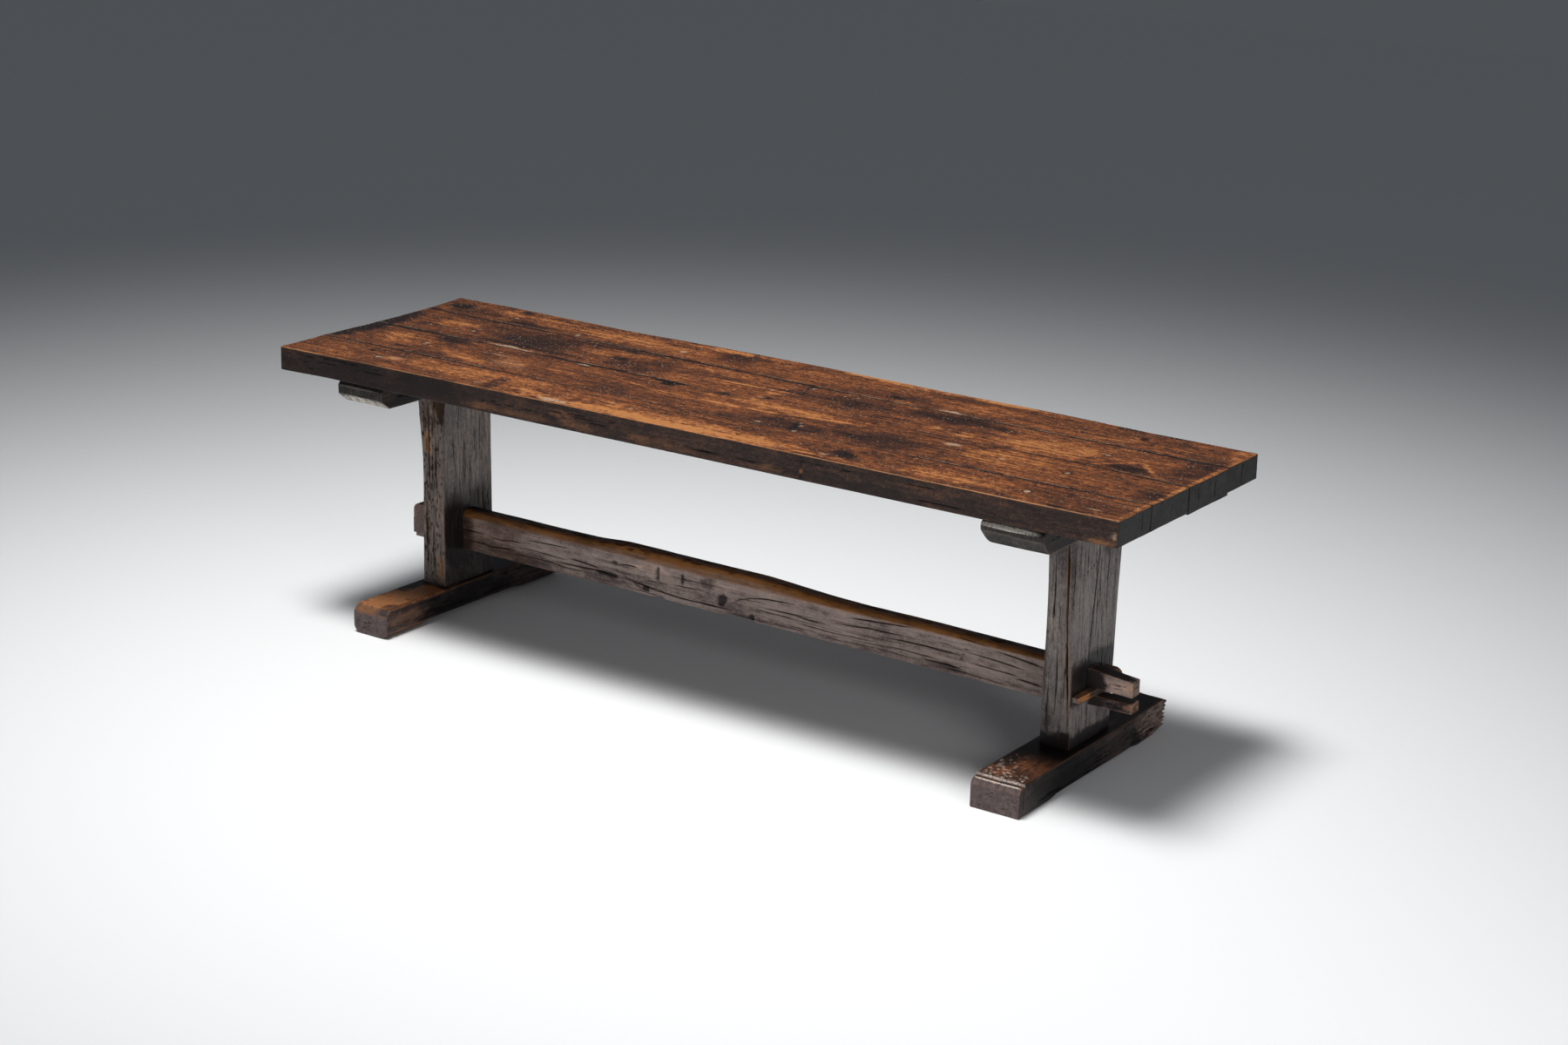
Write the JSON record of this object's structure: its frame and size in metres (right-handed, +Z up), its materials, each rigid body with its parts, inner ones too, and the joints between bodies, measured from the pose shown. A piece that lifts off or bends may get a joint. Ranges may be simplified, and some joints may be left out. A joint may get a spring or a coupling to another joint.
{
  "type": "farmhouse trestle table",
  "caption": "Long rustic timber table: thick plank top on bearers, two board posts on sledge feet, and a low stretcher whose forked through tenons are locked by removable wedges.",
  "frame": {"origin": "middle of the table's footprint, on the floor", "axes": "+X along the table to the right as seen from the front, +Y to the back, +Z up"},
  "size_m": [2.51, 0.739, 0.76],
  "materials": {
    "top_wood": "old waxed surface, worn to amber on the arrises",
    "bearer_wood": "dark patinated surface",
    "post_wood": "dry greyed surface with checks along the grain",
    "foot_wood": "dark patinated surface, polished by shoes at the ends",
    "stretcher_wood": "dry greyed surface, worn amber along the upper arris",
    "wedge_wood": "bare wood",
    "peg_wood": "worn end grain",
    "hidden_wood": "bare sawn wood"
  },
  "bodies": {
    "frame": {"top_board_front": "top_wood", "top_board_mid_front": "top_wood", "top_board_mid_rear": "top_wood", "top_board_rear": "top_wood", "front_seam_tongues": "hidden_wood", "middle_seam_tongues": "hidden_wood", "rear_seam_tongues": "hidden_wood", "right_top_pegs": "peg_wood", "left_top_pegs": "peg_wood", "right_bearer": "bearer_wood", "left_bearer": "bearer_wood", "right_post": "post_wood", "left_post": "post_wood", "right_foot": "foot_wood", "left_foot": "foot_wood", "right_foot_tenon_wedges": "hidden_wood", "left_foot_tenon_wedges": "hidden_wood", "right_bearer_tenon_wedges": "hidden_wood", "left_bearer_tenon_wedges": "hidden_wood", "stretcher": "stretcher_wood"},
    "right_wedge": {"right_wedge": "wedge_wood"},
    "left_wedge": {"left_wedge": "wedge_wood"}
  },
  "joints": [
    {"name": "right_wedge_slide", "type": "slide", "parent": "frame", "child": "right_wedge", "axis": [0, 1, 0], "range_m": [0, 0.125]},
    {"name": "left_wedge_slide", "type": "slide", "parent": "frame", "child": "left_wedge", "axis": [0, -1, 0], "range_m": [0, 0.125]}
  ]
}
